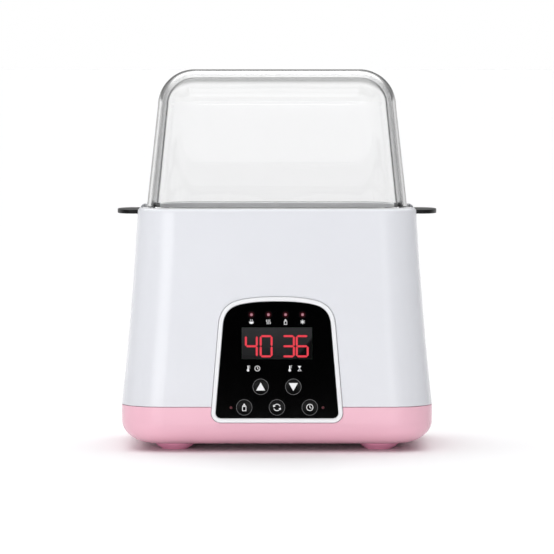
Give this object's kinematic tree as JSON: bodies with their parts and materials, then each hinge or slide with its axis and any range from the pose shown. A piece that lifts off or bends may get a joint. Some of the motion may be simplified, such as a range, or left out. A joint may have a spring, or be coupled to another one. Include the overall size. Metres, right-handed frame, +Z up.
{
  "type": "twin bottle warmer",
  "caption": "Tapered twin bottle warmer with a rounded base, heated water tank, lift-out basket with ear handles, clear lift-off cover and a digital control panel with push buttons.",
  "frame": {"origin": "on the table, under the middle of the bounding box, between the four feet", "axes": "+Z up, -Y out of the control panel towards the user, +X to the user's right"},
  "size_m": [0.2196, 0.1548, 0.258],
  "materials": {
    "housing_white": "glossy moulded plastic, cool white",
    "base_pink": "glossy moulded plastic, baby pink",
    "foot_rose": "soft matt rubber, dark rose",
    "trim_white": "glossy white trim ring",
    "panel_black": "high-gloss black lens",
    "button_black": "gloss black key cap",
    "print_grey": "pale printed rings and symbols",
    "basket_black": "gloss black moulded plastic",
    "cover_clear": "clear polished plastic",
    "display_smoke": "smoked display window",
    "display_lit": "lit red figures",
    "lamp_red": "lit red lamps and light guide",
    "tank_white": "heat-resistant white plastic",
    "plate_steel": "spun stainless steel",
    "seal_silicone": "translucent silicone",
    "gland_black": "matt black rubber",
    "block_aluminium": "die-cast aluminium",
    "screw_steel": "zinc-plated steel",
    "board_green": "green circuit board",
    "part_dark": "moulded component case",
    "tape_yellow": "insulating tape",
    "capacitor_blue": "dipped component case",
    "wire_brown": "insulated wire",
    "wire_blue": "insulated wire",
    "ribbon_grey": "flat ribbon cable"
  },
  "bodies": {
    "housing": {"upper_housing": "housing_white", "base_tray": "base_pink", "foot_front_left": "foot_rose", "foot_front_right": "foot_rose", "foot_rear_left": "foot_rose", "foot_rear_right": "foot_rose", "foot_screw_front_left": "screw_steel", "foot_screw_front_right": "screw_steel", "foot_screw_rear_left": "screw_steel", "foot_screw_rear_right": "screw_steel", "cord_gland": "gland_black", "water_tank": "tank_white", "heating_plate": "plate_steel", "plate_seal": "seal_silicone", "heater_block": "block_aluminium", "heater_bracket": "screw_steel", "bracket_screw_1": "screw_steel", "bracket_screw_2": "screw_steel", "bracket_screw_3": "screw_steel", "bracket_screw_4": "screw_steel", "thermistor": "plate_steel", "thermostat": "part_dark", "thermal_fuse": "plate_steel", "heater_lead_live": "wire_brown", "heater_lead_neutral": "wire_blue", "panel_bezel": "trim_white", "panel_lens": "panel_black", "display_window": "display_smoke", "display_module": "display_lit", "light_guide": "lamp_red", "status_led_left": "lamp_red", "status_led_right": "lamp_red", "control_board": "board_green", "board_screw_1": "screw_steel", "board_screw_2": "screw_steel", "board_screw_3": "screw_steel", "board_screw_4": "screw_steel", "switch_up": "part_dark", "switch_down": "part_dark", "switch_warm": "part_dark", "switch_function": "part_dark", "switch_timer": "part_dark", "power_board": "board_green", "power_screw_1": "screw_steel", "power_screw_2": "screw_steel", "power_screw_3": "screw_steel", "power_screw_4": "screw_steel", "transformer": "tape_yellow", "relay": "part_dark", "filter_capacitor": "capacitor_blue", "terminal_block": "tank_white", "ribbon_cable": "ribbon_grey"},
    "basket": {"lift_basket": "basket_black"},
    "cover": {"clear_cover": "cover_clear"},
    "key_up": {"button_up": "button_black"},
    "key_down": {"button_down": "button_black"},
    "key_warm": {"button_warm": "button_black"},
    "key_function": {"button_function": "button_black"},
    "key_timer": {"button_timer": "button_black"}
  },
  "joints": [
    {"name": "basket_lift", "type": "slide", "parent": "housing", "child": "basket", "axis": [0, 0, 1], "range_m": [0, 0.125]},
    {"name": "cover_lift", "type": "slide", "parent": "basket", "child": "cover", "axis": [0, 0, 1], "range_m": [0, 0.1]},
    {"name": "press_up", "type": "slide", "parent": "housing", "child": "key_up", "axis": [0, 0.9963, -0.0861], "range_m": [0, 0.001], "stiffness_N_per_m": 400},
    {"name": "press_down", "type": "slide", "parent": "housing", "child": "key_down", "axis": [0, 0.9963, -0.0861], "range_m": [0, 0.001], "stiffness_N_per_m": 400},
    {"name": "press_warm", "type": "slide", "parent": "housing", "child": "key_warm", "axis": [0, 0.9963, -0.0861], "range_m": [0, 0.001], "stiffness_N_per_m": 400},
    {"name": "press_function", "type": "slide", "parent": "housing", "child": "key_function", "axis": [0, 0.9963, -0.0861], "range_m": [0, 0.001], "stiffness_N_per_m": 400},
    {"name": "press_timer", "type": "slide", "parent": "housing", "child": "key_timer", "axis": [0, 0.9963, -0.0861], "range_m": [0, 0.001], "stiffness_N_per_m": 400}
  ]
}
